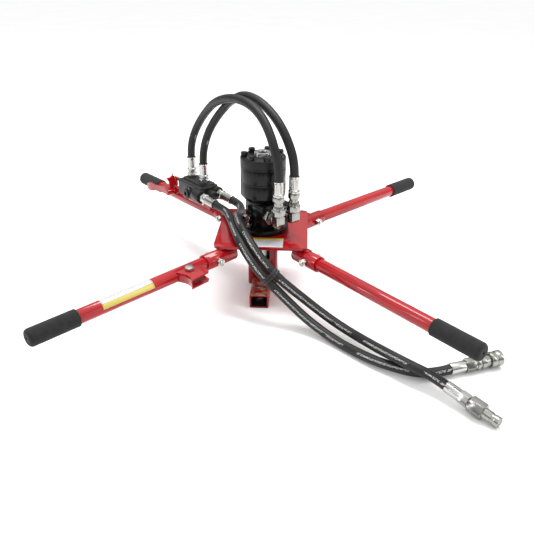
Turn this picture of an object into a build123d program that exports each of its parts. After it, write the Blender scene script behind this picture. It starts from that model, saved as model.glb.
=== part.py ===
"""Hydraulic earth-anchor drive head with four handles, modelled in millimetres.

Frame: +Z up, origin on the drive axis at the mouth of the anchor socket. The torque-bar receiver and
the socket stand on the ground, and the square guard ends a little above it.
The operator's valve sits on the rear left handle; the hoses leave towards the front right.
"""
from build123d import *
from math import cos, pi, radians, sin, sqrt, tan
import os

os.makedirs("parts", exist_ok=True)

# ---------------------------------------------------------------- driving dimensions
arm_height = 122.0          # handle axes above the ground, at their crossing
arm_cross_x = 8.2           # the handles cross this far to the right of the drive axis
arm_angle = 48.0            # handles from the X axis, in plan
arm_droop = 1.2             # each handle falls outwards by this angle
arms = {"front_left": (-1, -1), "front_right": (1, -1), "rear_right": (1, 1), "rear_left": (-1, 1)}

handle_od = 28.6
handle_wall = 3.0
handle_start = 118.0        # distances along a handle are from the crossing
handle_end = 568.0
grip_od = 34.5
grip_span = {"front_left": (483.0, 580.0), "front_right": (474.0, 576.0), "rear_right": (474.0, 576.0),
             "rear_left": (474.0, 576.0)}
socket_od = 34.9
socket_bore = 28.9
socket_start = 105.0
socket_end = {"front_left": 186.0, "front_right": 176.0, "rear_right": 183.0, "rear_left": 190.0}
socket_bolt_inset = 28.0    # bolt back from the socket's outer end
bolt_m10 = 9.8
bolt_m10_hole = 10.5
hex_m10 = 15.0

plate_width = 201.0
plate_depth = 220.0
plate_thickness = 6.4
plate_corner = 14.0
plate_top = arm_height + 23.0
plate_under = plate_top - plate_thickness
drive_opening = 66.0

guard_size = 66.0
guard_wall = 6.0
guard_foot = 16.0           # the guard ends this far above the ground
window_sill = 80.0          # the guard's window runs from here up to the plate
receiver_width = 42.0
receiver_height = 32.0
receiver_wall = 3.6
receiver_x = -2.5           # the receiver sits this far off the drive axis
receiver_end = 115.0        # front of the torque-bar receiver, in front of the drive axis
receiver_pin_hole = 15.0
receiver_pin_back = 40.0    # pin hole back from the receiver's mouth

hub_od = 46.0
hub_nose_od = 36.0
anchor_bore = 26.0
anchor_depth = 62.0

motor_od = 99.2
motor_neck_od = 78.0
flange_od = 112.0
flange_thickness = 12.0
stud_circle = 92.0
motor_levels = {"neck_top": 70.0, "body_bottom": 82.0, "body_top": 110.0, "ring_bottom": 114.0,
                "ring_top": 145.0, "cap_bottom": 149.0, "cap_top": 166.7}
cap_bolt_circle = 82.0
cap_bolt_count = 7
housing_bore = 52.0
shaft_journal = 44.0
shaft_output = 31.75
running_clearance = 0.05

roller_count = 7
roller_circle = 60.0
roller_od = 12.0
ring_bore = 58.8
star_offset = 2.6
star_clearance = 0.3

port_azimuth = -48.6        # the motor ports face the front right
port_spacing = 42.0
port_height = 46.0          # port axes above the plate
leg_reach = 80.0            # hose legs stand this far from the drive axis
leg_ferrule_foot = 100.0    # the loop hoses' ferrules start this far above the plate

hose_od = 19.2
ferrule_od = 22.0
face_valve_bore = 19.8

BASE = (Align.CENTER, Align.CENTER, Align.MIN)


# ---------------------------------------------------------------- shape helpers
def rod(diameter, start, end):
    """Round bar between two points."""
    first = Vector(*start)
    run = Vector(*end) - first
    return Plane(origin=first, z_dir=run).location * Cylinder(diameter / 2, run.length, align=BASE)


def pipe(outer, inner, start, end):
    """Round tube between two points."""
    first = Vector(*start)
    last = Vector(*end)
    reach = (last - first).normalized()
    return rod(outer, start, end) - rod(inner, tuple(first - reach), tuple(last + reach))


def hexagon(flats, start, end):
    """Hexagonal bar between two points, measured across its flats, with its corners turned off."""
    first = Vector(*start)
    run = Vector(*end) - first
    outline = RegularPolygon(flats / 2, 6, major_radius=False)
    bar = Plane(origin=first, z_dir=run).location * extrude(outline, run.length)
    turned = rod(flats * 1.15, start, end)
    return bar & chamfer(turned.edges().filter_by(GeomType.CIRCLE), flats * 0.06)


def block(size, low):
    """Box from its lowest corner."""
    corner = (Align.MIN, Align.MIN, Align.MIN)
    return Pos(*low) * Box(*size, align=corner)


def rounded_bar(width, depth, height, radius, low_z):
    """Upright bar centred on the drive axis with rounded corners."""
    outline = RectangleRounded(width, depth, radius)
    return Pos(0, 0, low_z) * extrude(outline, height)


def along(start, direction, distance):
    """Point a distance from a start, along a unit direction."""
    return tuple(start[axis] + direction[axis] * distance for axis in range(3))


def lined_up(start, end):
    """Unit direction and length between two points."""
    run = Vector(*end) - Vector(*start)
    return tuple(run.normalized()), run.length


def node(name, *shapes):
    """Write one node's solids to its STEP file."""
    solids = [solid for shape in shapes for solid in shape.solids()]
    whole = solids[0] if len(solids) == 1 else Compound(children=solids)
    export_step(whole, f"parts/{name}.step")
    return whole


# ---------------------------------------------------------------- frames
def arm_frame(x_sign, y_sign):
    """X runs out along a handle, Z up; the handle's droop is included."""
    angle = radians(arm_angle)
    droop = radians(arm_droop)
    out = (x_sign * cos(angle) * cos(droop), y_sign * sin(angle) * cos(droop), -sin(droop))
    upward = (x_sign * cos(angle) * sin(droop), y_sign * sin(angle) * sin(droop), cos(droop))
    return Plane(origin=(arm_cross_x, 0, arm_height), x_dir=out, z_dir=upward).location


def level_frame():
    """X runs out over the rear left handle, Y to the operator's side, Z up, without the droop."""
    angle = radians(arm_angle)
    out = (-cos(angle), sin(angle), 0)
    return Plane(origin=(arm_cross_x, 0, arm_height), x_dir=out, z_dir=(0, 0, 1)).location


def in_level_frame(out, side, up):
    """Point of the valve's frame in the object's frame."""
    angle = radians(arm_angle)
    return (arm_cross_x - cos(angle) * out - sin(angle) * side,
            sin(angle) * out - cos(angle) * side, arm_height + up)


# ---------------------------------------------------------------- frame weldment
def make_plate():
    plate = rounded_bar(plate_width, plate_depth, plate_thickness, plate_corner, plate_under)
    plate -= rod(drive_opening, (0, 0, plate_under - 1), (0, 0, plate_top + 1))
    for x_sign, y_sign in arms.values():
        spot = stud_circle / 2 * sqrt(0.5)
        plate -= rod(12.2, (x_sign * spot, y_sign * spot, plate_under - 1),
                     (x_sign * spot, y_sign * spot, plate_top + 1))
    node("mounting_plate", plate)


def make_arms():
    """Sockets, handles and grips, one set per corner, with their cross bolts."""
    sockets = []
    bolts = []
    nuts = []
    half_socket = socket_od / 2
    for name, (x_sign, y_sign) in arms.items():
        frame = arm_frame(x_sign, y_sign)
        end = socket_end[name]
        bolt_at = end - socket_bolt_inset
        near = 1 if x_sign < 0 else -1
        hole = rod(bolt_m10_hole, (bolt_at, -40, 0), (bolt_at, 40, 0))
        land_end = plate_depth / 2 / sin(radians(arm_angle)) - 3
        land = block((land_end - socket_start, 12, 14), (socket_start, -6, 8))
        socket = rod(socket_od, (socket_start, 0, 0), (end, 0, 0)) + land
        socket -= rod(socket_bore, (socket_start - 1, 0, 0), (end + 1, 0, 0))
        socket -= hole
        above_plate = block((600, 600, 60), (-300, -300, plate_under))
        sockets.append(frame * socket - above_plate)
        handle = pipe(handle_od, handle_od - 2 * handle_wall, (handle_start, 0, 0), (handle_end, 0, 0))
        node(f"handle_{name}", frame * (handle - hole))
        grip_start, grip_end = grip_span[name]
        grip = rod(grip_od, (grip_start, 0, 0), (grip_end, 0, 0))
        grip = fillet(grip.edges().sort_by(Axis.X)[-1], 7)
        grip = chamfer(grip.edges().sort_by(Axis.X)[0], 1)
        grip -= rod(handle_od, (grip_start - 1, 0, 0), (handle_end, 0, 0))
        grip -= rod(5, (handle_end - 1, 0, 0), (grip_end + 1, 0, 0))
        node(f"grip_{name}", frame * grip)
        head = hexagon(hex_m10, (bolt_at, -near * half_socket, 0), (bolt_at, -near * (half_socket + 6.5), 0))
        shank = rod(bolt_m10, (bolt_at, -near * half_socket, 0), (bolt_at, near * (half_socket + 11), 0))
        bolts.append(frame * (head + shank))
        nut = hexagon(hex_m10, (bolt_at, near * half_socket, 0), (bolt_at, near * (half_socket + 8.5), 0))
        nut -= rod(bolt_m10, (bolt_at, near * 10, 0), (bolt_at, near * 40, 0))
        nuts.append(frame * nut)
    node("handle_sockets", *sockets)
    node("socket_bolts", *bolts)
    node("socket_nuts", *nuts)


def make_drive_guard():
    """Square guard round the drive hub, and the torque-bar receiver on its front."""
    guard = rounded_bar(guard_size, guard_size, plate_under - guard_foot, 7, guard_foot)
    inner = guard_size - 2 * guard_wall
    guard -= rounded_bar(inner, inner, plate_under, 3, guard_foot - 1)
    window = block((20, guard_size + 2, plate_under - window_sill), (-4, -guard_size / 2 - 1, window_sill))
    node("drive_guard", guard - window)
    length = receiver_end - guard_size / 2
    outline = RectangleRounded(receiver_width, receiver_height, 4)
    outline -= RectangleRounded(receiver_width - 2 * receiver_wall, receiver_height - 2 * receiver_wall, 2)
    back = Plane(origin=(receiver_x, -guard_size / 2, receiver_height / 2), x_dir=(1, 0, 0), z_dir=(0, -1, 0))
    receiver = back.location * extrude(outline, length)
    hole_y = -receiver_end + receiver_pin_back
    receiver -= rod(receiver_pin_hole, (receiver_x, hole_y, -1), (receiver_x, hole_y, receiver_height + 1))
    node("torque_bar_receiver", receiver)


# ---------------------------------------------------------------- hydraulic motor
def polar(radius, angle, height):
    """Point round the drive axis, with its height above the plate."""
    return (radius * cos(radians(angle)), radius * sin(radians(angle)), plate_top + height)


def cap_bolt_angle(index):
    return 80 + 360 / cap_bolt_count * index


def bolt_holes(low, high, diameter=8.6):
    """Clearance holes of the seven long motor bolts."""
    holes = []
    for index in range(cap_bolt_count):
        angle = cap_bolt_angle(index)
        holes.append(rod(diameter, polar(cap_bolt_circle / 2, angle, low),
                         polar(cap_bolt_circle / 2, angle, high)))
    return holes


def port_point(side, reach, height):
    """Point on the port face: side is -1 for the front port and +1 for the rear one."""
    facing = radians(port_azimuth)
    offset = side * port_spacing / 2
    return (reach * cos(facing) - offset * sin(facing), reach * sin(facing) + offset * cos(facing),
            plate_top + height)


def upright(radius_of, low, high):
    """Bar on the drive axis between two heights above the plate."""
    return rod(radius_of, (0, 0, plate_top + low), (0, 0, plate_top + high))


def make_motor_housing():
    levels = motor_levels
    housing = upright(flange_od, 0, flange_thickness) + upright(motor_neck_od, 0, levels["neck_top"] + 1)
    shoulder = Cone(motor_neck_od / 2, motor_od / 2, levels["body_bottom"] - levels["neck_top"], align=BASE)
    housing += Pos(0, 0, plate_top + levels["neck_top"]) * shoulder
    housing += upright(motor_od, levels["body_bottom"], levels["body_top"])
    facing = Plane(origin=(0, 0, plate_top + port_height), x_dir=(-sin(radians(port_azimuth)),
                   cos(radians(port_azimuth)), 0), z_dir=(cos(radians(port_azimuth)), sin(radians(port_azimuth)), 0))
    housing += facing.location * extrude(RectangleRounded(76, 46, 9), 45)
    for x_sign, y_sign in arms.values():
        spot = stud_circle / 2 * sqrt(0.5)
        place = (x_sign * spot, y_sign * spot)
        clear = 22.5 if (x_sign, y_sign) == arms["front_right"] else 62
        housing -= rod(24, (*place, plate_top + flange_thickness), (*place, plate_top + clear))
        housing -= rod(12.6, (*place, plate_top - 1), (*place, plate_top + 20))
    housing -= upright(housing_bore, -1, 106)
    housing -= upright(34, 105, 111)
    for side in (-1, 1):
        housing -= rod(17.2, port_point(side, 31, port_height), port_point(side, 46, port_height))
    for hole in bolt_holes(90, 111):
        housing -= hole
    node("motor_housing", housing)


def star_outline():
    """Six-lobed rotor that stays a constant gap from seven rollers as it orbits."""
    pitch = roller_circle / 2
    inset = roller_od / 2 + star_clearance
    points = []
    count = 96
    for step in range(count):
        turn = 2 * pi * step / count
        x = pitch * cos(turn) - star_offset * cos(roller_count * turn)
        y = pitch * sin(turn) - star_offset * sin(roller_count * turn)
        dx = -pitch * sin(turn) + roller_count * star_offset * sin(roller_count * turn)
        dy = pitch * cos(turn) - roller_count * star_offset * cos(roller_count * turn)
        speed = sqrt(dx * dx + dy * dy)
        points.append((x - inset * dy / speed, y + inset * dx / speed))
    return make_face(Spline(*points, periodic=True))


def make_gerotor():
    levels = motor_levels
    plates = []
    for low, high in (("body_top", "ring_bottom"), ("ring_top", "cap_bottom")):
        disc = upright(motor_od, levels[low], levels[high])
        disc -= upright(34, levels[low] - 1, levels[high] + 1)
        for hole in bolt_holes(levels[low] - 1, levels[high] + 1):
            disc -= hole
        plates.append(disc)
    node("wear_plates", *plates)
    low = levels["ring_bottom"]
    high = levels["ring_top"]
    ring = upright(motor_od, low, high) - upright(ring_bore, low - 1, high + 1)
    rollers = []
    for index in range(roller_count):
        angle = cap_bolt_angle(index + 0.5)
        pocket = roller_od + 0.1
        ring -= rod(pocket, polar(roller_circle / 2, angle, low - 1), polar(roller_circle / 2, angle, high + 1))
        rollers.append(rod(roller_od, polar(roller_circle / 2, angle, low + 0.3),
                           polar(roller_circle / 2, angle, high - 0.3)))
    for hole in bolt_holes(low - 1, high + 1):
        ring -= hole
    node("gerotor_ring", ring)
    node("gerotor_rollers", *rollers)
    lean = cap_bolt_angle(0.5)
    star = extrude(star_outline(), high - low - 0.6)
    star -= Pos(0, 0, -1) * Cylinder(13.8, high - low + 2, align=BASE)
    centre = polar(star_offset, lean, low + 0.3)
    node("gerotor_star", Location(centre, (0, 0, lean)) * star)
    foot = (0, 0, plate_top + 56)
    tip = polar(star_offset, lean, high - 2)
    way, reach = lined_up(foot, tip)
    link = rod(16, foot, tip)
    link += rod(24, foot, along(foot, way, 16))
    link += rod(24, along(foot, way, reach - 24), tip)
    node("drive_link", link)


def make_motor_cap():
    levels = motor_levels
    cap = upright(motor_od, levels["cap_bottom"], levels["cap_top"])
    cap = fillet(cap.edges().group_by(Axis.Z)[-1], 2.5)
    boss = upright(38, levels["cap_top"] - 1, levels["cap_top"] + 9)
    boss -= block((60, 30, 30), (-30, -46.5, plate_top + levels["cap_top"]))
    cap += boss
    cap -= upright(17.4, levels["cap_top"] - 4, levels["cap_top"] + 10)
    for hole in bolt_holes(levels["cap_bottom"] - 1, levels["cap_top"] + 1):
        cap -= hole
    node("motor_end_cap", cap)


def make_socket_plugs(valve_frame):
    """Hex socket plugs of the motor's case drain and of the valve's side."""
    top = motor_levels["cap_top"]
    drain = upright(17.2, top - 4, top + 7.5) - hexagon(8, polar(0, 0, top + 2), polar(0, 0, top + 10))
    face = valve_front + 6
    side = rod(17.2, (plug_out, 20, plug_up), (plug_out, face, plug_up))
    side += rod(22, (plug_out, face, plug_up), (plug_out, face + 4.5, plug_up))
    side -= hexagon(10, (plug_out, face - 3, plug_up), (plug_out, face + 6, plug_up))
    node("socket_plugs", drain, valve_frame * side)


def make_cap_bolts():
    levels = motor_levels
    bolts = []
    for index in range(cap_bolt_count):
        angle = cap_bolt_angle(index)
        middle = cap_bolt_circle / 2
        head = hexagon(13, polar(middle, angle, levels["cap_top"]), polar(middle, angle, levels["cap_top"] + 8.5))
        bolts.append(head + rod(8, polar(middle, angle, 92), polar(middle, angle, levels["cap_top"])))
    node("motor_cap_bolts", *bolts)


def make_output():
    """Output shaft on two bearings with its seal, and the hub that drives the anchor."""
    journal = shaft_journal - 2 * running_clearance
    shaft = upright(journal, 13, 105) + upright(shaft_output, -60, 14)
    shaft -= upright(29, 50, 106)
    shaft -= rod(9.6, (-40, 0, plate_top - 45), (40, 0, plate_top - 45))
    node("output_shaft", shaft)
    bearings = []
    for low, high in ((16, 40), (78, 102)):
        bearings.append(upright(housing_bore, low, high) - upright(shaft_journal, low - 1, high + 1))
    node("shaft_bearings", *bearings)
    seal = upright(housing_bore, 2, 11) - upright(shaft_output + 0.1, 1, 12)
    node("shaft_seal", seal)
    hub = chamfer(rod(hub_nose_od, (0, 0, 0), (0, 0, guard_foot + 5)).edges().group_by(Axis.Z)[0], 1.5)
    hub += rod(hub_od, (0, 0, guard_foot + 4), (0, 0, plate_top - 16))
    hub -= rod(shaft_output, (0, 0, plate_top - 60), (0, 0, plate_top))
    hub -= rod(anchor_bore, (0, 0, -1), (0, 0, anchor_depth))
    hub -= rod(13.5, (-40, 0, 27), (40, 0, 27))
    hub -= rod(9.6, (-40, 0, plate_top - 45), (40, 0, plate_top - 45))
    node("drive_hub", hub)
    node("hub_cross_pin", rod(9.6, (-22.5, 0, plate_top - 45), (22.5, 0, plate_top - 45)))


def make_flange_studs():
    """Studs and nuts that hold the motor; the one under the port block is short."""
    studs = []
    nuts = []
    for x_sign, y_sign in arms.values():
        spot = stud_circle / 2 * sqrt(0.5)
        x = x_sign * spot
        y = y_sign * spot
        if (x_sign, y_sign) == arms["front_right"]:
            studs.append(rod(12, (x, y, plate_under), (x, y, plate_top + 22)))
        else:
            stud = rod(12, (x, y, plate_under), (x, y, plate_top + 34))
            studs.append(stud + hexagon(18, (x, y, plate_top + 34), (x, y, plate_top + 41.5)))
        nut = hexagon(18, (x, y, plate_top + flange_thickness), (x, y, plate_top + flange_thickness + 10))
        nuts.append(nut - rod(12, (x, y, plate_top), (x, y, plate_top + 40)))
    node("flange_studs", *studs)
    node("flange_nuts", *nuts)


# ---------------------------------------------------------------- hoses and their fittings
def ferrule(start, end, collar=8.0):
    """Crimped hose end from its collar to the hose: a shell with a shoulder."""
    way, reach = lined_up(start, end)
    shell = rod(ferrule_od, start, end)
    return shell + rod(ferrule_od + 3, start, along(start, way, collar))


def make_motor_port_fittings():
    """Adapter, forged elbow and hose nut on each motor port."""
    adapters = []
    elbows = []
    nuts = []
    for side in (-1, 1):
        adapter = hexagon(30, port_point(side, 45, port_height), port_point(side, 56, port_height))
        adapter += rod(17.1, port_point(side, 33, port_height), port_point(side, 46, port_height))
        adapter += rod(18, port_point(side, 55, port_height), port_point(side, 62, port_height))
        adapters.append(adapter)
        centre = port_point(side, leg_reach, port_height)
        body = Box(23, 22, 24)
        body = chamfer(body.edges().filter_by(Axis.Y).group_by(Axis.Z)[0].sort_by(Axis.X)[-1], 7)
        body = chamfer(body.edges().filter_by(Axis.Z), 3.5)
        elbow = Pos(*centre) * Rot(0, 0, port_azimuth) * body
        elbow += rod(24, port_point(side, 62, port_height), port_point(side, leg_reach - 9, port_height))
        elbow += rod(19, centre, port_point(side, leg_reach, 59))
        elbows.append(elbow)
        levels = [port_point(side, leg_reach, height) for height in (59, 73, 80.5, 89, leg_ferrule_foot)]
        nut = hexagon(26, levels[0], levels[1]) + rod(24, levels[1], levels[2]) + rod(20, levels[2], levels[3])
        nuts.append(nut + hexagon(22, levels[3], levels[4]))
    node("port_adapters", *adapters)
    node("port_elbows", *elbows)
    node("motor_hose_nuts", *nuts)


def hose(points):
    """Hose along straight runs joined by arcs as large as the runs allow; prints its facts."""
    corners = [Vector(*point) for point in points]
    radii = []
    for before, at, after in zip(corners, corners[1:], corners[2:]):
        first = at - before
        second = after - at
        half_turn = radians(first.get_angle(second) / 2)
        radii.append(0.45 * min(first.length, second.length) / tan(half_turn))
    path = FilletPolyline(*corners, radius=radii)
    profile = Plane(origin=path @ 0, z_dir=path % 0).location * Circle(hose_od / 2)
    tube = sweep(profile, path)
    share = tube.volume / (pi * hose_od ** 2 / 4 * path.length)
    print("hose length", round(path.length, 1), "volume share", round(share, 4),
          "radii", [round(radius) for radius in radii])
    return tube


# Loop hoses stand up from the valve's work ports and come down on the motor's two legs.
loop_outer = [in_level_frame(318, -6, 112), in_level_frame(318, -6, 139), (-187, 235, 301), (-167, 216, 336),
              (-145, 186, 366), (-123, 148, 391), (-97, 106, 409), (-69, 64, 420), (-40, 24, 422), (-13, -13, 413),
              (9, -44, 391), (25, -65, 356), port_point(-1, leg_reach, 165), port_point(-1, leg_reach, 135)]
loop_inner = [in_level_frame(260, -4, 108), in_level_frame(260, -4, 135), (-150, 195, 303), (-128, 182, 343),
              (-102, 159, 377), (-76, 126, 405), (-50, 88, 422), (-23, 47, 425), (4, 9, 416), (31, -21, 394),
              (53, -40, 359), port_point(1, leg_reach, 168), port_point(1, leg_reach, 138)]

line_ports = (28, -20)          # side of the pressure and return ports, which face the plate
line_port_up = 37.0
line_ferrule_out = 168.0

# The pressure and return hoses leave the valve's inner end, cross the plate, fall to the ground in
# front of the guard and lie there; near the couplers the return hose crosses over the pressure hose.
pressure_route = [in_level_frame(line_ferrule_out, 28, line_port_up), in_level_frame(144, 28, line_port_up),
                  (-91, 53, 156), (-86, 9, 157), (-80, -35, 164), (-66, -76, 168), (-48, -113, 160),
                  (-25, -141, 139), (2, -159, 111), (34, -171, 82), (66, -184, 55), (98, -202, 32),
                  (130, -225, 18), (162, -254, 11), (194, -286, 11), (227, -317, 13), (262, -342, 16),
                  (299, -355, 15), (337.2, -353, 12), (366.9, -341.3, 14.5)]
return_route = [in_level_frame(line_ferrule_out, -20, line_port_up), in_level_frame(144, -20, line_port_up),
                (-56, 84, 158), (-58, 43, 159), (-69, 4, 170), (-65, -38, 181), (-48, -77, 180),
                (-27, -113, 165), (-1, -140, 141), (27, -158, 114), (59, -169, 88), (94, -179, 64),
                (128, -193, 43), (160, -213, 29), (190, -241, 24), (216, -275, 27), (241, -310, 32),
                (267, -342, 36), (296, -368, 35), (327.4, -388.4, 31.1), (347.3, -410.5, 27)]
pressure_end = (470.5, -300.4, 17)
return_end = (420.6, -484.3, 11.5)


def make_hoses():
    node("loop_hose_outer", hose(loop_outer))
    node("loop_hose_inner", hose(loop_inner))
    node("pressure_hose", hose(pressure_route))
    node("return_hose", hose(return_route))
    ferrules = []
    for side, route in ((-1, loop_outer), (1, loop_inner)):
        ferrules.append(ferrule(port_point(side, leg_reach, leg_ferrule_foot), route[-1]))
        ferrules.append(ferrule(along(route[0], (0, 0, 1), -36), route[0]))
    for side in line_ports:
        nut_face = in_level_frame(210, side, line_port_up)
        ferrules.append(ferrule(nut_face, in_level_frame(line_ferrule_out, side, line_port_up)))
    node("hose_ferrules", *ferrules)


def make_couplers():
    way, reach = lined_up(pressure_route[-1], pressure_end)
    at = lambda distance: along(pressure_route[-1], way, distance)
    node("pressure_hose_end", rod(ferrule_od, at(0), at(30)) + rod(16, at(30), at(40)))
    body = hexagon(24, at(32), at(50)) - rod(16, at(31), at(40))
    body += rod(24, at(50), at(108)) + rod(27, at(54), at(60)) + rod(27, at(64), at(74))
    body -= rod(face_valve_bore, at(78), at(109))
    node("female_coupler_body", body)
    sleeve = chamfer(rod(31, at(84), at(109)).edges(), 1)
    sleeve -= rod(24.1, at(83), at(110))
    sleeve -= pipe(34, 29, at(94), at(97))
    node("female_coupler_sleeve", sleeve)
    node("female_coupler_face_valve", rod(face_valve_bore - 0.1, at(86), at(107.5)))
    print("sleeve axis", [round(value, 5) for value in way], "at", [round(value, 3) for value in at(96)])

    way, reach = lined_up(return_route[-1], return_end)
    at = lambda distance: along(return_route[-1], way, distance)
    node("return_hose_end", rod(ferrule_od, at(0), at(28)) + hexagon(22, at(28), at(46)) + rod(15, at(46), at(56)))
    body = hexagon(27, at(48), at(76)) + rod(19.7, at(76), at(reach))
    body -= rod(15, at(47), at(56))
    body -= rod(13, at(reach - 25), at(reach + 1))
    body -= pipe(24, 17.4, at(reach - 15), at(reach - 11))
    node("male_coupler", body)
    node("male_coupler_face_valve", rod(12.9, at(reach - 17), at(reach - 0.5)))
    print("male axis", [round(value, 5) for value in way], "length", round(reach, 2))


# ---------------------------------------------------------------- control valve on the rear left handle
# Valve sizes below are in the level frame: out along the handle, side towards the operator, up.
valve_in = 228.0
valve_out = 334.0
valve_back = -26.0
valve_front = 30.0
valve_foot = 18.0
valve_top = 57.0
work_ports = ((318, -6, 76), (260, -4, 72))     # out, side and the height where the ferrule starts
spool_side = 4.0
spool_up = 40.0
spool_od = 12.0
plug_out = 281.0
plug_up = 33.0
lever_out = 378.0           # the lever's pivot lies across the handle, under the spool's pin
lever_up = 7.0
lever_pin = 10.0
lever_barrel = (13.0, 36.0)
yoke = (375.5, 380.5)       # upright plate of the lever, along the handle


def make_valve_body(frame):
    depth = valve_front - valve_back
    body = block((valve_out - valve_in, depth, valve_top - valve_foot), (valve_in, valve_back, valve_foot))
    body = fillet(body.edges().filter_by(Axis.Z), 7)
    body = fillet(body.edges().group_by(Axis.Z)[-1], 2.5)
    land = fillet(block((96, 40, 5), (234, -22, 55)).edges().filter_by(Axis.Z), 8)
    body += land
    for side in line_ports:
        body += rod(32, (222, side, line_port_up), (252, side, line_port_up))
        body -= rod(17.2, (221, side, line_port_up), (236, side, line_port_up))
    body += rod(30, (plug_out, valve_front - 4, plug_up), (plug_out, valve_front + 6, plug_up))
    body -= rod(17.2, (plug_out, 18, plug_up), (plug_out, valve_front + 7, plug_up))
    body -= rod(spool_od + 2 * running_clearance, (200, spool_side, spool_up), (340, spool_side, spool_up))
    for out, side, _ in work_ports:
        body -= rod(17.2, (out, side, 52), (out, side, 62))
    body -= rod(14, (242, 9, 52), (242, 9, 62))
    for side in (-14, 18):
        body -= rod(5.2, (318, side, 26), (336, side, 26))
    node("valve_body", frame * body)


def make_valve_trim(frame):
    """Relief valve, caps, spring, screws and port fittings of the valve."""
    relief = rod(14, (242, 9, 53), (242, 9, 61)) + hexagon(16, (242, 9, 60), (242, 9, 68))
    node("relief_valve", frame * relief)
    end_plate = block((5, 44, 34), (valve_out, -20, 19))
    end_plate = fillet(end_plate.edges().filter_by(Axis.X), 6)
    end_plate -= rod(spool_od + 1, (valve_out - 1, spool_side, spool_up), (valve_out + 6, spool_side, spool_up))
    for side in (-14, 18):
        end_plate -= rod(5.2, (valve_out - 1, side, 26), (valve_out + 6, side, 26))
    node("spool_end_plate", frame * end_plate)
    screws = []
    for side in (-14, 18):
        screw = rod(5.2, (320, side, 26), (valve_out + 5, side, 26))
        screws.append(screw + rod(9, (valve_out + 5, side, 26), (valve_out + 9, side, 26)))
    for out in (238, 330):
        screws.append(rod(5, (out, 6, 13), (out, 14, 13)) + rod(9, (out, 14, 13), (out, 17.5, 13)))
    node("valve_screws", *[frame * screw for screw in screws])
    cap = rod(22, (202, spool_side, spool_up), (valve_in - 6, spool_side, spool_up))
    cap = fillet(cap.edges().sort_by(Axis.X)[0], 3)
    cap += rod(15.8, (valve_in - 6, spool_side, spool_up), (valve_in, spool_side, spool_up))
    cap -= rod(16, (204.5, spool_side, spool_up), (valve_in - 4, spool_side, spool_up))
    cap -= rod(13, (204.5, spool_side, spool_up), (valve_in + 1, spool_side, spool_up))
    node("spring_cap", frame * cap)
    coil = Helix(pitch=3.4, height=15.5, radius=6.5)
    wire = sweep(Plane(origin=coil @ 0, z_dir=coil % 0).location * Circle(0.9), coil, is_frenet=True)
    spring = Plane(origin=(206, spool_side, spool_up), z_dir=(1, 0, 0)).location * wire
    node("centring_spring", frame * spring)
    adapters = []
    for out, side, ferrule_foot in work_ports:
        adapter = rod(17.2, (out, side, 53), (out, side, 60)) + hexagon(22, (out, side, 60), (out, side, 70))
        adapters.append(adapter + rod(19, (out, side, 69), (out, side, ferrule_foot)))
    node("work_port_adapters", *[frame * adapter for adapter in adapters])
    nuts = []
    for side in line_ports:
        nut = hexagon(20, (222, side, line_port_up), (210, side, line_port_up))
        nuts.append(nut + rod(17.2, (222, side, line_port_up), (234, side, line_port_up)))
    node("valve_hose_nuts", *[frame * nut for nut in nuts])


def make_valve_mount(frame, arm):
    """Saddle that carries the valve, and the bracket with the pin that carries its lever."""
    saddle = frame * block((124, 28, 16), (210, -14, valve_foot - 16))
    tube = arm * rod(handle_od, (handle_start, 0, 0), (handle_end, 0, 0))
    saddle -= tube
    for out in (238, 330):
        saddle -= frame * rod(5, (out, 5, 13), (out, 15, 13))
    node("valve_saddle", saddle)
    bracket = block((50, 22, 5), (362, -10, 4)) + block((22, 4, 12), (lever_out - 11, 8, -5))
    bracket += rod(22, (lever_out, 8, lever_up), (lever_out, 12, lever_up))
    bracket += rod(lever_pin, (lever_out, 8, lever_up), (lever_out, 38, lever_up))
    pin_head = rod(15, (lever_out, 36.5, lever_up), (lever_out, 39.5, lever_up))
    bracket += chamfer(pin_head.edges().sort_by(Axis.Y)[-1], 1)
    node("lever_bracket", (frame * bracket - tube).solids().sort_by(SortBy.VOLUME)[-1])


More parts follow.
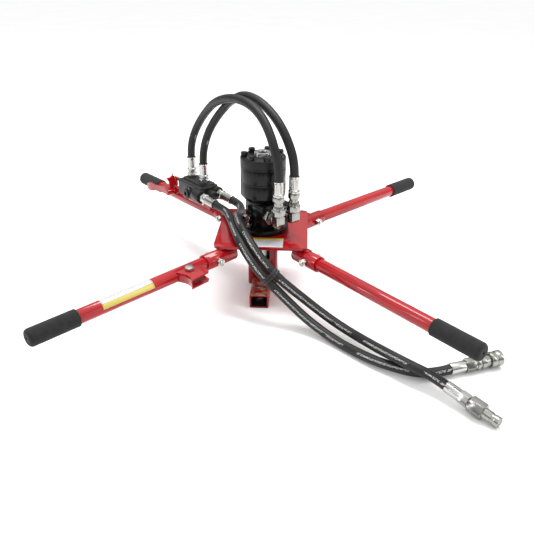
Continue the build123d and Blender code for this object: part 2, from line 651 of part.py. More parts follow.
def make_lever(frame):
    """Spool and the hand lever that pushes it."""
    spool = rod(spool_od, (232, spool_side, spool_up), (341, spool_side, spool_up))
    for groove in (250, 272, 294, 316):
        spool -= pipe(14, 8.6, (groove, spool_side, spool_up), (groove + 9, spool_side, spool_up))
    spool += rod(8, (209, spool_side, spool_up), (233, spool_side, spool_up))
    tongue = block((44, 5, 8), (340, spool_side - 2.5, spool_up - 4))
    spool += fillet(tongue.edges().filter_by(Axis.Y).sort_by(Axis.X)[-2:], 3.5)
    spool += rod(6, (lever_out, spool_side, spool_up), (lever_out, 12.5, spool_up))
    node("valve_spool", frame * spool)

    low, high = lever_barrel
    lever = rod(15, (lever_out, low, lever_up), (lever_out, high, lever_up))
    upright_outline = make_face(Polyline((low, 9), (34, 9), (31, 21), (30, 35), (37.5, 46.5), (26, 47.5), (18, 52),
                                         (12.8, 47), (12.8, 33.5), (8, 33.5), (8, 22), (low, 20), close=True))
    across = Plane(origin=(yoke[0], 0, 0), x_dir=(0, 1, 0), z_dir=(1, 0, 0))
    lever += across.location * extrude(upright_outline, yoke[1] - yoke[0])
    lever += rod(2.6, (lever_out, 18, 50), (lever_out, 18, 57))
    lug = block((13, 4.5, 24), (lever_out - 6.5, 7, 22.5))
    lever += fillet(lug.edges().filter_by(Axis.Y).group_by(Axis.Z)[-1], 5)
    bar_outline = make_face(Polyline((378, -0.5), (391, 0), (423, -3), (448, -6.5), (458, -10), (469, -13),
                                     (485, -14.5), (491, -11), (493, -5), (490, 3), (481, 8), (468, 9.5),
                                     (456, 9), (446, 9), (420, 14), (396, 18), (384, 16), (378, 14), close=True))
    side_on = Plane(origin=(0, high - 4.5, 0), x_dir=(1, 0, 0), z_dir=(0, -1, 0))
    lever += side_on.location * extrude(bar_outline, -4.5)
    lever -= rod(lever_pin + 0.2, (lever_out, low - 1, lever_up), (lever_out, high + 1, lever_up))
    for shift in (-0.5, 0.5):
        lever -= rod(6.3, (lever_out, 6, spool_up + shift), (lever_out, 12.7, spool_up + shift))
    node("lever", frame * lever)


def make_side_bracket(arm):
    """Channel on the front left handle: two plates joined by a curved web at their outer end."""
    tube = rod(handle_od, (handle_start, 0, 0), (handle_end, 0, 0))
    outer_edge = ((265, 58), (258, 44), (258, 28), (262, 16), (266, 5))
    inner_edge = [(out - 3, side) for out, side in reversed(outer_edge)]
    outline = Spline((266, 5), (250, 4), (236, 6), (222, 13), (211, 24))
    outline += Polyline((211, 24), (214, 50), (220, 55), (265, 58))
    outline += Spline(*outer_edge)
    web_outline = Spline(*outer_edge) + Polyline((266, 5), (263, 5)) + Spline(*inner_edge)
    web_outline += Polyline((262, 58), (265, 58))
    channel = Pos(0, 0, -9) * extrude(make_face(web_outline), 21)
    for up in (9, -9):
        channel += Pos(0, 0, up) * extrude(make_face(outline), 3)
    channel -= tube
    channel -= rod(8, (238, 18.6, -40), (238, 18.6, 40))
    node("side_bracket", (arm * channel).solids().sort_by(SortBy.VOLUME)[-1])


def make_bracket_fasteners(front_arm):
    """Bolt with its nut through the side bracket."""
    x, y = 238, 18.6
    bolt = rod(8, (x, y, -18), (x, y, 13)) + hexagon(17, (x, y, 12), (x, y, 19))
    nut = hexagon(13, (x, y, -15.5), (x, y, -9)) - rod(8, (x, y, -20), (x, y, 0))
    node("bracket_fasteners", front_arm * bolt, front_arm * nut)


def make_cable_tie():
    """Strap that holds the pressure and return hoses together."""
    first = (Vector(*pressure_route[8]) + Vector(*pressure_route[9])) * 0.5
    second = Vector(*return_route[8]) * 0.05 + Vector(*return_route[9]) * 0.73 + Vector(*return_route[10]) * 0.22
    print("hoses at the tie are", round((first - second).length, 1), "apart")
    way = (Vector(*pressure_route[9]) - Vector(*pressure_route[8])).normalized()
    across = (second - first) - way * (second - first).dot(way)
    frame = Plane(origin=(first + second) * 0.5, x_dir=across, z_dir=way).location
    reach = across.length
    outline = SlotCenterToCenter(reach, hose_od + 5) - SlotCenterToCenter(reach, hose_od + 2)
    pieces = []
    for shift in (-3.1, 3.1):
        band = Pos(0, 0, shift - 2.4) * extrude(outline, 4.8)
        head = Pos(reach / 2, hose_od / 2 + 4.5, shift) * fillet(Box(9, 7, 5.6).edges(), 0.8)
        pieces.append(frame * (band + head))
    node("cable_tie", *pieces)


make_plate()
make_arms()
make_drive_guard()
make_motor_housing()
make_gerotor()
make_motor_cap()
make_cap_bolts()
make_output()
make_flange_studs()
make_motor_port_fittings()
make_hoses()
make_couplers()
make_cable_tie()
valve_frame = level_frame()
rear_arm = arm_frame(*arms["rear_left"])
front_arm = arm_frame(*arms["front_left"])
make_socket_plugs(valve_frame)
make_valve_body(valve_frame)
make_valve_trim(valve_frame)
make_valve_mount(valve_frame, rear_arm)
make_lever(valve_frame)
make_side_bracket(front_arm)
make_bracket_fasteners(front_arm)
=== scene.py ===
"""Looks of the hydraulic drive head: camera, hoses, fittings, labels, materials, floor and lights."""

from math import cos, pi, radians, sin

import bmesh
import bpy
from mathutils import Matrix, Vector


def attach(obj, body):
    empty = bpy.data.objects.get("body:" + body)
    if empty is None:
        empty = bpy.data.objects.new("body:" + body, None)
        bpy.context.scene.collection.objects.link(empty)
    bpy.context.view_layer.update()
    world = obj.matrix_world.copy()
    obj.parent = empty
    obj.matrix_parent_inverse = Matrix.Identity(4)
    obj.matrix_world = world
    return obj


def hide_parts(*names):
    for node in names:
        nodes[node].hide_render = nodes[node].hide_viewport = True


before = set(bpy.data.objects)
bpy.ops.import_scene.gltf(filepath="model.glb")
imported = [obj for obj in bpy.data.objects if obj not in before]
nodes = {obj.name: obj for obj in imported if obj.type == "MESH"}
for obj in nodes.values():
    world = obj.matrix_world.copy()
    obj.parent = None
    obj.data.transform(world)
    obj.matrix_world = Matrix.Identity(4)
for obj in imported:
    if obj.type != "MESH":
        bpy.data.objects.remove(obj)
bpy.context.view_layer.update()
MM = 0.001

# ---------------------------------------------------------------- camera
LENS = 42.65
AZIMUTH = radians(3.424)
ELEVATION = radians(26.665)
DISTANCE = 1.444933
AIM = Vector((0.008234, 0, 0.122))      # crossing of the handles' axes
AIM_OFFSET = (0.000061, -0.069669)      # of the view's centre from the aim, to the right and upwards
back = Vector((sin(AZIMUTH) * cos(ELEVATION), -cos(AZIMUTH) * cos(ELEVATION), sin(ELEVATION)))
right = Vector((cos(AZIMUTH), sin(AZIMUTH), 0))
above = back.cross(right)
camera_data = bpy.data.cameras.new("camera")
camera_data.lens = LENS
camera_data.sensor_width = 36
camera_data.clip_end = 50
camera = bpy.data.objects.new("camera", camera_data)
place = AIM + right * AIM_OFFSET[0] + above * AIM_OFFSET[1] + back * DISTANCE
camera.matrix_world = Matrix.Translation(place) @ Matrix((right, above, back)).transposed().to_4x4()
bpy.context.scene.collection.objects.link(camera)
bpy.context.scene.camera = camera


# ---------------------------------------------------------------- materials
class Paper:
    """Small helper to lay out one node material."""

    def __init__(self, name):
        self.material = bpy.data.materials.new(name)
        self.material.use_nodes = True
        self.tree = self.material.node_tree
        self.shader = self.tree.nodes["Principled BSDF"]
        self.coordinates = self.tree.nodes.new("ShaderNodeTexCoord")

    def node(self, kind, inputs=None, **settings):
        made = self.tree.nodes.new(kind)
        for key, value in settings.items():
            setattr(made, key, value)
        for key, value in (inputs or {}).items():
            if isinstance(value, bpy.types.NodeSocket):
                self.tree.links.new(value, made.inputs[key])
            else:
                made.inputs[key].default_value = value
        return made

    def math(self, operation, first, second=None):
        inputs = {0: first} if second is None else {0: first, 1: second}
        return self.node("ShaderNodeMath", inputs, operation=operation).outputs[0]

    def mix(self, factor, first, second):
        """Colour mix: first where the factor is 0, second where it is 1."""
        inputs = {"Factor": factor, "A": first, "B": second}
        return self.node("ShaderNodeMix", inputs, data_type="RGBA").outputs["Result"]

    def axes(self, source):
        """X, Y and Z of the object or UV coordinates."""
        return self.node("ShaderNodeSeparateXYZ", {"Vector": self.coordinates.outputs[source]}).outputs

    def shade(self, **values):
        """Sets the shader's own sockets; a socket is linked, a number or colour is set."""
        for key, value in values.items():
            socket = self.shader.inputs[key.replace("_", " ")]
            if isinstance(value, bpy.types.NodeSocket):
                self.tree.links.new(value, socket)
            else:
                socket.default_value = value

    def noise(self, scale, detail=3.0, source="Object", stretch=None):
        vector = self.coordinates.outputs[source]
        if stretch:
            stretched = {"Vector": vector, "Scale": stretch}
            vector = self.node("ShaderNodeMapping", stretched).outputs["Vector"]
        inputs = {"Vector": vector, "Scale": scale, "Detail": detail}
        return self.node("ShaderNodeTexNoise", inputs).outputs["Fac"]

    def ramp(self, fac, stops):
        made = self.node("ShaderNodeValToRGB", {"Fac": fac})
        elements = made.color_ramp.elements
        elements[0].position, elements[0].color = stops[0]
        elements[1].position, elements[1].color = stops[-1]
        for position, color in stops[1:-1]:
            elements.new(position).color = color
        return made.outputs["Color"]

    def spread(self, fac, low, high):
        """Maps a 0 to 1 texture onto a range."""
        inputs = {"Value": fac, "To Min": low, "To Max": high}
        return self.node("ShaderNodeMapRange", inputs).outputs["Result"]

    def bump(self, height, strength, distance=0.001, normal=None):
        inputs = {"Height": height, "Strength": strength, "Distance": distance}
        made = self.node("ShaderNodeBump", inputs)
        if normal is not None:
            self.tree.links.new(normal, made.inputs["Normal"])
        return made.outputs["Normal"]


def grey(value):
    return (value, value, value, 1)


def paint_material(name, low, high, roughness, coat, peel=0.05):
    """Sprayed gloss paint: slight shade drift, orange peel and dusty patches in its gloss."""
    paper = Paper(name)
    drift = paper.noise(14, 3)
    peel_height = paper.noise(420, 2)
    gloss = paper.spread(paper.noise(60, 4), roughness - 0.06, roughness + 0.08)
    paper.shade(Base_Color=paper.ramp(drift, [(0.3, low), (0.7, high)]), Roughness=gloss,
                Specular_IOR_Level=0.12, Coat_Weight=coat, Coat_Roughness=0.07,
                Normal=paper.bump(peel_height, peel, 0.0006))
    return paper.material


def steel_material(name, tone, roughness, warm=0.0):
    """Bright plated or machined steel with cloudy gloss and fine turning marks."""
    paper = Paper(name)
    cloud = paper.noise(60, 3)
    marks = paper.noise(900, 2)
    low = (tone * 0.88, tone * 0.88, tone * (0.88 - warm), 1)
    high = (tone, tone, tone * (1 - warm), 1)
    paper.shade(Metallic=1.0, Base_Color=paper.ramp(cloud, [(0.3, low), (0.75, high)]),
                Roughness=paper.spread(cloud, roughness - 0.02, roughness + 0.05),
                Normal=paper.bump(marks, 0.04, 0.0003))
    return paper.material


def hose_material(name, line, bare):
    """Wrapped rubber hose cover with a worn, unreadable layline; bare is the share left without it."""
    paper = Paper(name)
    uv = paper.coordinates.outputs["UV"]
    wave = {"Vector": uv, "Scale": 60.0, "Distortion": 1.5, "Detail": 2.0}
    wrap = paper.node("ShaderNodeTexWave", wave, bands_direction="DIAGONAL").outputs["Fac"]
    grain = paper.noise(700, 3)
    rubber = paper.ramp(paper.noise(40, 4), [(0.25, grey(0.006)), (0.8, grey(0.015))])
    distance = paper.math("ABSOLUTE", paper.math("SUBTRACT", paper.axes("UV")["Y"], line))
    printed = paper.math("LESS_THAN", distance, 0.032)
    marks = paper.math("GREATER_THAN", paper.noise(1.0, 1.0, "UV", (420, 32, 1)), 0.53)
    stretches = paper.math("GREATER_THAN", paper.noise(1.0, 0.0, "UV", (14, 1, 1)), bare)
    printed = paper.math("MULTIPLY", paper.math("MULTIPLY", printed, marks), stretches)
    normal = paper.bump(wrap, 0.10, 0.0004)
    paper.shade(Base_Color=paper.mix(printed, rubber, grey(0.55)), Specular_IOR_Level=0.3,
                Roughness=paper.spread(grain, 0.38, 0.56),
                Normal=paper.bump(grain, 0.12, 0.0004, normal))
    return paper.material


def foam_material():
    """Matt black foam with fine closed cells."""
    paper = Paper("grip_foam")
    place_in_object = paper.coordinates.outputs["Object"]
    cells = paper.node("ShaderNodeTexVoronoi", {"Vector": place_in_object, "Scale": 620.0})
    fine = paper.noise(1500, 3)
    normal = paper.bump(cells.outputs["Distance"], 0.22, 0.0005)
    paper.shade(Base_Color=paper.ramp(paper.noise(90, 5), [(0.25, grey(0.012)), (0.8, grey(0.021))]),
                Roughness=0.9, Specular_IOR_Level=0.15, Sheen_Weight=0.08, Sheen_Roughness=0.6,
                Normal=paper.bump(fine, 0.2, 0.0003, normal))
    return paper.material


def cast_material(name, tone, roughness, grain=240, strength=0.28):
    """Black paint over a cast or machined surface."""
    paper = Paper(name)
    rough = paper.noise(grain, 5)
    dust = paper.noise(30, 4)
    normal = paper.bump(rough, strength, 0.0006)
    paper.shade(Base_Color=paper.ramp(dust, [(0.3, grey(tone)), (0.8, grey(tone * 1.9))]),
                Roughness=paper.spread(rough, roughness - 0.08, roughness + 0.12),
                Specular_IOR_Level=0.12, Coat_Weight=0.25, Coat_Roughness=0.08, Normal=normal)
    return paper.material


def receiver_material():
    """Red paint worn through to pale primer and rust on top; the hollow inside is coloured near black
    as painted shade.
    """
    paper = Paper("receiver_worn_paint_and_painted_shade")
    axes = paper.axes("Object")

    def between(axis, low, high):
        """One where the coordinate lies between two places in metres."""
        offset = paper.math("ABSOLUTE", paper.math("SUBTRACT", axes[axis], (low + high) / 2))
        return paper.math("LESS_THAN", offset, (high - low) / 2)

    # Painted shade: this mask marks the hollow inside of the receiver's open end, which is coloured
    # near black.
    painted_shade_inside = paper.math("MULTIPLY", between("X", -0.0202, 0.0152), between("Z", 0.0033, 0.0287))
    scuffs = paper.ramp(paper.noise(55, 6), [(0.42, grey(0)), (0.56, grey(1))])
    worn = paper.math("MULTIPLY", between("Z", 0.0312, 0.05), scuffs)
    bare_tones = [(0.3, (0.16, 0.055, 0.035, 1)), (0.7, (0.42, 0.30, 0.20, 1))]
    primer = paper.ramp(paper.noise(140, 5), bare_tones)
    reds = [(0.3, (0.24, 0.0025, 0.0050, 1)), (0.7, (0.36, 0.0050, 0.0090, 1))]
    red = paper.ramp(paper.noise(14, 3), reds)
    # The near black colour mixed in here is painted shade for the inside of the open end.
    tone = paper.mix(painted_shade_inside, paper.mix(worn, red, primer), (0.012, 0.009, 0.009, 1))
    paper.shade(Base_Color=tone, Roughness=paper.spread(paper.noise(60, 4), 0.32, 0.5),
                Specular_IOR_Level=0.3, Coat_Weight=0.15,
                Normal=paper.bump(paper.noise(420, 2), 0.06, 0.0006))
    return paper.material


def cap_material():
    """The motor's black end cap, with its drain boss left bright."""
    paper = Paper("motor_cap")
    high = paper.math("GREATER_THAN", paper.axes("Object")["Z"], 0.3123)
    rough = paper.noise(300, 5)
    dust = paper.ramp(paper.noise(30, 4), [(0.3, grey(0.006)), (0.8, grey(0.011))])
    steel = paper.ramp(paper.noise(90, 5), [(0.3, grey(0.48)), (0.75, grey(0.60))])
    levels = {"Factor": high, "A": paper.spread(rough, 0.30, 0.5), "B": 0.22}
    gloss = paper.node("ShaderNodeMix", levels).outputs[0]
    paper.shade(Base_Color=paper.mix(high, dust, steel), Metallic=high, Roughness=gloss,
                Specular_IOR_Level=0.22, Normal=paper.bump(rough, 0.16, 0.0006))
    return paper.material


def plastic_material(name, tone, roughness):
    """Moulded black plastic or rubber."""
    paper = Paper(name)
    fine = paper.noise(800, 3)
    paper.shade(Base_Color=paper.ramp(paper.noise(50, 2), [(0.3, grey(tone)), (0.8, grey(tone * 1.4))]),
                Roughness=paper.spread(fine, roughness - 0.05, roughness + 0.1),
                Normal=paper.bump(fine, 0.1, 0.0003))
    return paper.material


RED = paint_material("red_paint", (0.27, 0.0015, 0.0045, 1), (0.35, 0.0028, 0.0070, 1), 0.30, 0.7, 0.02)
# A darker, rougher copy of the red paint, used for the drive guard under the plate.
GUARD_RED = paint_material("red_paint_darker", (0.18, 0.0020, 0.0045, 1), (0.26, 0.0035, 0.0070, 1),
                           0.38, 0.5)
MOTOR_BLACK = cast_material("motor_black", 0.0025, 0.30, 300, 0.12)
MOTOR_CAP = cap_material()
CAST_BLACK = cast_material("cast_black", 0.013, 0.42, 260, 0.45)
BOLT_BLACK = cast_material("bolt_black", 0.010, 0.38, 500, 0.15)
ZINC = steel_material("bright_zinc", 0.52, 0.20, 0.04)
NICKEL = steel_material("nickel_plate", 0.34, 0.22, 0.06)
MACHINED = steel_material("machined_steel", 0.42, 0.30)
RUBBER_LINE = hose_material("hose_cover", 0.30, 0.40)
RUBBER_LOOP = hose_material("loop_hose_cover", 0.30, 0.60)
SEAL = plastic_material("seal_rubber", 0.012, 0.6)
TIE = plastic_material("tie_nylon", 0.012, 0.38)
FOAM = foam_material()
RECEIVER_WORN_AND_PAINTED_SHADE = receiver_material()


# ---------------------------------------------------------------- frames shared with the CAD
ARM_ANGLE = radians(48)
ARM_DROOP = radians(1.2)
ARM_HEIGHT = 122.0
CROSS_X = 8.2
PLATE_TOP = 145.0
HANDLE_RADIUS = 14.3
PORT_AZIMUTH = radians(-48.6)
PORT_SPACING = 42.0
LEG_REACH = 80.0            # of the motor's two hose legs, from the motor's axis
LEG_FERRULE_FOOT = 100.0    # above the plate


def valve_point(out, side, up):
    """Point of the valve's level frame, in millimetres, in the object's frame."""
    return (CROSS_X - cos(ARM_ANGLE) * out - sin(ARM_ANGLE) * side,
            sin(ARM_ANGLE) * out - cos(ARM_ANGLE) * side, ARM_HEIGHT + up)


def port_point(side, reach, height):
    """Point on a motor port's axis: side is -1 for the front port and +1 for the rear one."""
    offset = side * PORT_SPACING / 2
    return (reach * cos(PORT_AZIMUTH) - offset * sin(PORT_AZIMUTH),
            reach * sin(PORT_AZIMUTH) + offset * cos(PORT_AZIMUTH), PLATE_TOP + height)


def arm_matrix(x_sign, y_sign):
    """Frame of a handle: X outwards along it, Z up, in metres."""
    out = Vector((x_sign * cos(ARM_ANGLE) * cos(ARM_DROOP), y_sign * sin(ARM_ANGLE) * cos(ARM_DROOP),
                  -sin(ARM_DROOP)))
    upward = Vector((x_sign * cos(ARM_ANGLE) * sin(ARM_DROOP), y_sign * sin(ARM_ANGLE) * sin(ARM_DROOP),
                     cos(ARM_DROOP)))
    turned = Matrix((out, upward.cross(out), upward)).transposed().to_4x4()
    return Matrix.Translation((CROSS_X * MM, 0, ARM_HEIGHT * MM)) @ turned


# ---------------------------------------------------------------- making pieces
def link(piece, material, body="frame"):
    bpy.context.scene.collection.objects.link(piece)
    if not piece.data.materials:
        piece.data.materials.append(material)
    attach(piece, body)
    return piece


def smooth(mesh, angle=35):
    mesh.shade_smooth()
    mesh.set_sharp_from_angle(angle=radians(angle))


def from_bmesh(name, shape, material, body="frame", angle=35):
    mesh = bpy.data.meshes.new(name)
    bmesh.ops.recalc_face_normals(shape, faces=shape.faces)
    shape.to_mesh(mesh)
    shape.free()
    smooth(mesh, angle)
    return link(bpy.data.objects.new(name, mesh), material, body)


def rings_mesh(shape, rings, start, end, close_start=True, close_end=True):
    """Skins a list of (distance in mm, [radius in mm at each step round]) along an axis."""
    first = Vector(start) * MM
    way = (Vector(end) * MM - first).normalized()
    across = way.cross(Vector((0, 0, 1)))
    if across.length < 0.2:
        across = way.cross(Vector((cos(PORT_AZIMUTH), sin(PORT_AZIMUTH), 0)))
    across.normalize()
    other = way.cross(across)
    rows = []
    for distance, radii in rings:
        row = []
        for step, radius in enumerate(radii):
            turn = 2 * pi * step / len(radii)
            offset = (across * cos(turn) + other * sin(turn)) * radius * MM
            row.append(shape.verts.new(first + way * distance * MM + offset))
        rows.append(row)
    count = len(rows[0])
    for row, following in zip(rows, rows[1:]):
        for step in range(count):
            step_on = (step + 1) % count
            shape.faces.new((row[step], row[step_on], following[step_on], following[step]))
    if close_start:
        shape.faces.new(rows[0])
    if close_end:
        shape.faces.new(reversed(rows[-1]))


def crimped(shape, start, end, radius=11.0, steps=96, flats=8):
    """Hose ferrule, from its collar to the hose: rolled rims and crimp flats."""
    length = (Vector(end) - Vector(start)).length
    rings = []

    def ring(distance, outer, flat=0.0):
        radii = []
        for step in range(steps):
            phase = (step * flats / steps) % 1
            lobe = abs(phase - 0.5) * 2
            radii.append(outer - flat * (1 - lobe ** 6))
        rings.append((distance, radii))

    ring(0, radius - 2.2)
    ring(0.0, radius - 0.6)
    ring(0.8, radius + 0.6)
    ring(2.0, radius + 1.3)
    ring(5.5, radius + 1.3)
    ring(6.8, radius + 0.7)
    ring(7.8, radius - 0.6)
    ring(8.8, radius - 0.5, 0.25)
    ring(10.5, radius - 0.1, 0.55)
    ring(length - 6.0, radius - 0.1, 0.55)
    ring(length - 4.0, radius + 0.1, 0.2)
    ring(length - 2.6, radius + 0.6)
    ring(length - 1.0, radius + 0.9)
    ring(length - 0.2, radius + 0.5)
    ring(length, radius - 0.4)
    ring(length - 0.3, radius - 1.5)
    rings_mesh(shape, rings, start, end, close_end=False)


# ---------------------------------------------------------------- hoses
PRESSURE = [valve_point(168, 26.5, 33.5), valve_point(144, 25.5, 31.5), (-87, 54, 157), (-75, 10, 158),
            (-65, -34, 164), (-56, -75, 168), (-43, -112, 160), (-23, -141, 139), (2, -159, 111),
            (34, -171, 82), (66, -184, 55), (98, -202, 32), (130, -225, 18), (162, -254, 11),
            (194, -286, 11), (227, -317, 13), (262, -342, 16), (299, -355, 15), (337.2, -353, 12),
            (366.9, -341.3, 14.5)]
RETURN = [valve_point(168, -24, 33), valve_point(144, -26, 31), (-58, 85, 157), (-56, 44, 160),
          (-58, 4, 172), (-53, -37, 183), (-43, -77, 181), (-25, -113, 165), (-1, -140, 141),
          (27, -158, 114), (59, -169, 88), (94, -179, 64), (128, -193, 43), (160, -213, 29),
          (190, -241, 24), (216, -275, 27), (241, -310, 32), (267, -342, 36), (296, -368, 35),
          (327.4, -388.4, 31.1), (347.3, -410.5, 27)]
LOOP_OUTER = [valve_point(318, -6, 112), valve_point(318, -6, 139), (-187, 235, 301), (-167, 216, 336),
              (-145, 186, 366), (-123, 148, 391), (-97, 106, 409), (-69, 64, 420), (-40, 24, 422),
              (-13, -13, 413), (9, -44, 391), (25, -65, 356), port_point(-1, LEG_REACH, 165),
              port_point(-1, LEG_REACH, 135)]
LOOP_INNER = [valve_point(260, -4, 108), valve_point(260, -4, 135), (-150, 195, 303), (-128, 182, 343),
              (-102, 159, 377), (-76, 126, 405), (-50, 88, 422), (-23, 47, 425), (4, 9, 416),
              (31, -21, 394), (53, -40, 359), port_point(1, LEG_REACH, 168),
              port_point(1, LEG_REACH, 138)]
HOSE_DIAMETER = 19.2
WORK_FERRULE = 36.0         # length of the ferrules on the valve's work ports
LINE_PORT_UP = 37.0
LINE_NUT_FACE = 210.0       # out along the handle, where the nuts of the line ports end


def hose(name, points, replaced, material):
    """Hose on one smooth spline through its route."""
    curve = bpy.data.curves.new(name, "CURVE")
    curve.dimensions = "3D"
    spline = curve.splines.new("NURBS")
    spline.points.add(len(points) - 1)
    for point, place in zip(spline.points, points):
        point.co = (*(value * MM for value in place), 1)
    spline.order_u = 3
    spline.use_endpoint_u = True
    spline.resolution_u = 12
    curve.bevel_depth = HOSE_DIAMETER / 2 * MM
    curve.bevel_resolution = 7
    curve.use_fill_caps = True
    piece = link(bpy.data.objects.new(name, curve), material)
    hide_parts(replaced)
    return piece


pressure = hose("pressure_line", PRESSURE, "pressure_hose", RUBBER_LINE)
returning = hose("return_line", RETURN, "return_hose", RUBBER_LINE)
hose("loop_line_outer", LOOP_OUTER, "loop_hose_outer", RUBBER_LOOP)
hose("loop_line_inner", LOOP_INNER, "loop_hose_inner", RUBBER_LOOP)

# The six ferrules at the valve and the motor are one piece, as in the CAD. The two on the long lines
# dip from their nuts on short stubs.
shape = bmesh.new()
for side, route in ((-1, LOOP_OUTER), (1, LOOP_INNER)):
    crimped(shape, port_point(side, LEG_REACH, LEG_FERRULE_FOOT), route[-1])
    crimped(shape, Vector(route[0]) - Vector((0, 0, WORK_FERRULE)), route[0])
for side, route in ((28, PRESSURE), (-20, RETURN)):
    foot = valve_point(LINE_NUT_FACE - 1.2, side, LINE_PORT_UP - 0.2)
    crimped(shape, foot, route[0])
    stub = [(0, [8.0] * 48), (5, [8.0] * 48)]
    rings_mesh(shape, stub, valve_point(LINE_NUT_FACE + 2, side, LINE_PORT_UP), foot)
ferrules = from_bmesh("crimped_ferrules", shape, ZINC)
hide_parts("hose_ferrules")


# ---------------------------------------------------------------- finish of the carried-over CAD nodes
FINISH = {
    RED: ["mounting_plate", "handle_sockets", "handle_front_left", "handle_front_right",
          "handle_rear_left", "handle_rear_right", "lever_bracket", "side_bracket", "valve_saddle",
          "lever"],
    GUARD_RED: ["drive_guard"],
    RECEIVER_WORN_AND_PAINTED_SHADE: ["torque_bar_receiver"],
    FOAM: ["grip_front_left", "grip_front_right", "grip_rear_left", "grip_rear_right"],
    MOTOR_BLACK: ["motor_housing", "wear_plates", "gerotor_ring"],
    MOTOR_CAP: ["motor_end_cap"],
    CAST_BLACK: ["valve_body", "spool_end_plate", "spring_cap", "relief_valve"],
    BOLT_BLACK: ["motor_cap_bolts", "socket_plugs"],
    ZINC: ["socket_bolts", "socket_nuts", "flange_studs", "flange_nuts", "pressure_hose_end",
           "return_hose_end", "work_port_adapters", "valve_hose_nuts", "bracket_fasteners",
           "valve_screws"],
    NICKEL: ["port_adapters", "port_elbows", "motor_hose_nuts", "female_coupler_body",
             "female_coupler_sleeve", "female_coupler_face_valve", "male_coupler",
             "male_coupler_face_valve"],
    MACHINED: ["output_shaft", "drive_hub", "hub_cross_pin", "shaft_bearings", "drive_link",
               "gerotor_star", "gerotor_rollers", "valve_spool", "centring_spring"],
    SEAL: ["shaft_seal"],
    TIE: ["cable_tie"],
}
EDGE = {"grip_front_left": 0, "grip_front_right": 0, "grip_rear_left": 0, "grip_rear_right": 0,
        "centring_spring": 0, "mounting_plate": 0.8, "drive_guard": 0.8, "valve_body": 0.8,
        "female_coupler_face_valve": 0.2, "male_coupler_face_valve": 0.2}


def finish_node(name, material):
    """Gives a CAD node its material, smooth shading and softened edges."""
    node = nodes[name]
    node.data.materials.clear()
    node.data.materials.append(material)
    smooth(node.data, 30)
    width = EDGE.get(name, 0.4)
    if width:
        weld = node.modifiers.new("weld", "WELD")
        weld.merge_threshold = 0.00002
        bevel = node.modifiers.new("edges", "BEVEL")
        bevel.width = width * MM
        bevel.segments = 2
        bevel.limit_method = "ANGLE"
        bevel.angle_limit = radians(40)
        bevel.harden_normals = True
        bevel.use_clamp_overlap = True


for finish_material, names in FINISH.items():
    for node_name in names:
        finish_node(node_name, finish_material)


# ---------------------------------------------------------------- labels
def label_material(name, rules, band, ink):
    """Blank sticker: yellow band along one edge, white field with a number of thin dark rules."""
    paper = Paper(name)
    height = paper.axes("UV")["Y"]
    banded = paper.math("LESS_THAN", height, band)
    ruled = paper.math("LESS_THAN", paper.math("FRACT", paper.math("MULTIPLY", height, rules)), 0.25)
    tone = paper.mix(banded, paper.mix(ruled, (0.56, 0.56, 0.57, 1), ink), (0.52, 0.43, 0.075, 1))
    paper.shade(Base_Color=tone, Roughness=paper.spread(paper.noise(80, 3), 0.3, 0.45), Coat_Weight=0.4)
    return paper.material


def patch(name, columns, material, body="frame"):
    """Thin sticker from columns of points in mm, with its own UV from 0 to 1 each way."""
    shape = bmesh.new()
    layer = shape.loops.layers.uv.new("UVMap")
    verts = [[shape.verts.new(Vector(point) * MM) for point in column] for column in columns]
    for column in range(len(verts) - 1):
        for row in range(len(verts[0]) - 1):
            corners = ((column, row), (column + 1, row), (column + 1, row + 1), (column, row + 1))
            face = shape.faces.new([verts[i][j] for i, j in corners])
            for loop, (i, j) in zip(face.loops, corners):
                loop[layer].uv = (i / (len(verts) - 1), j / (len(verts[0]) - 1))
    mesh = bpy.data.meshes.new(name)
    shape.to_mesh(mesh)
    shape.free()
    smooth(mesh)
    piece = link(bpy.data.objects.new(name, mesh), material, body)
    thick = piece.modifiers.new("thickness", "SOLIDIFY")
    thick.thickness = 0.00015
    thick.offset = 0
    return piece


def tube_label(start=321, end=436, first_angle=4.5, sweep=145, columns_made=24, rows_made=16):
    """Sticker wrapped round the front left handle, between two distances and round its upper side."""
    arm = arm_matrix(-1, -1)
    radius = HANDLE_RADIUS + 0.15
    columns = []
    for step in range(columns_made + 1):
        out = start + (end - start) * step / columns_made
        column = []
        for turn in range(rows_made + 1):
            angle = radians(first_angle + sweep * turn / rows_made)
            point = arm @ (Vector((out, radius * cos(angle), radius * sin(angle))) * MM)
            column.append(point / MM)
        columns.append(column)
    material = label_material("handle_label", 10, 0.30, (0.10, 0.10, 0.12, 1))
    return patch("handle_label", columns, material)


def plate_label(left=-22, width=70, top=-60, depth=47, columns_made=12, rows_made=6):
    """Sticker along the front edge of the plate."""
    columns = []
    for step in range(columns_made + 1):
        x = left + width * step / columns_made
        rows = range(rows_made + 1)
        columns.append([(x, top - depth * row / rows_made, PLATE_TOP + 0.12) for row in rows])
    return patch("plate_label", columns, label_material("plate_label", 8, 0.25, (0.12, 0.12, 0.14, 1)))


for sticker in (tube_label(), plate_label()):
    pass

# ---------------------------------------------------------------- floor, backdrop and lights
FLOOR_HALF = 40.0
floor_corners = [(x * FLOOR_HALF, y * FLOOR_HALF, 0) for x, y in ((-1, -1), (1, -1), (1, 1), (-1, 1))]
floor_mesh = bpy.data.meshes.new("floor")
floor_mesh.from_pydata(floor_corners, [], [(0, 1, 2, 3)])
floor = bpy.data.objects.new("floor", floor_mesh)
floor_paper = Paper("floor_paper")
pale = floor_paper.ramp(floor_paper.noise(3, 2), [(0.3, grey(0.90)), (0.7, grey(0.92))])
floor_paper.shade(Base_Color=pale, Roughness=0.9, Specular_IOR_Level=0.1)
floor_mesh.materials.append(floor_paper.material)
bpy.context.scene.collection.objects.link(floor)


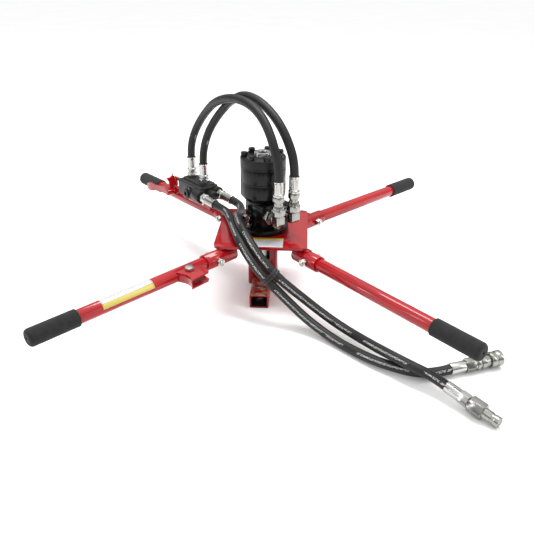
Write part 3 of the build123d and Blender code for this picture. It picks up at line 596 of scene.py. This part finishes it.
LIGHT_TARGET = Vector((0, 0, 0.1))
SOFTBOXES = {                           # place, width, depth in metres, power in watts
    "top_light": ((0.2, 0.3, 2.2), 2.0, 0.5, 46),
    "left_light": ((-2.0, -1.2, 1.2), 0.3, 1.6, 10),
    "right_light": ((2.2, -0.8, 1.1), 0.3, 1.6, 8),
    "front_light": ((0.2, -2.4, 1.9), 1.4, 0.8, 5),
}
for name, (lamp_place, width, depth, power) in SOFTBOXES.items():
    lamp = bpy.data.lights.new(name, "AREA")
    lamp.shape = "RECTANGLE"
    lamp.size = width
    lamp.size_y = depth
    lamp.energy = power
    softbox = bpy.data.objects.new(name, lamp)
    softbox.location = lamp_place
    softbox.rotation_euler = (LIGHT_TARGET - Vector(lamp_place)).to_track_quat("-Z", "Y").to_euler()
    bpy.context.scene.collection.objects.link(softbox)

# The world is bright overhead and dim at the horizon in reflections, and plain white behind the object.
world = bpy.data.worlds.new("studio")
world.use_nodes = True
sky = world.node_tree
direction = sky.nodes.new("ShaderNodeTexCoord")
upward = sky.nodes.new("ShaderNodeSeparateXYZ")
sky.links.new(direction.outputs["Generated"], upward.inputs["Vector"])
seen = sky.nodes.new("ShaderNodeLightPath")
fade = sky.nodes.new("ShaderNodeMapRange")
fade.interpolation_type = "SMOOTHSTEP"
fade.inputs["From Min"].default_value = 0.0
fade.inputs["From Max"].default_value = 0.85
fade.inputs["To Min"].default_value = 0.12
fade.inputs["To Max"].default_value = 1.35
sky.links.new(upward.outputs["Z"], fade.inputs["Value"])
strength = sky.nodes.new("ShaderNodeMix")
strength.inputs["B"].default_value = 1.0
sky.links.new(seen.outputs["Is Camera Ray"], strength.inputs["Factor"])
sky.links.new(fade.outputs["Result"], strength.inputs["A"])
sky.links.new(strength.outputs["Result"], sky.nodes["Background"].inputs["Strength"])
sky.nodes["Background"].inputs["Color"].default_value = (1, 1, 1, 1)
bpy.context.scene.world = world
bpy.context.scene.view_settings.view_transform = "Standard"
bpy.context.scene.view_settings.look = "None"
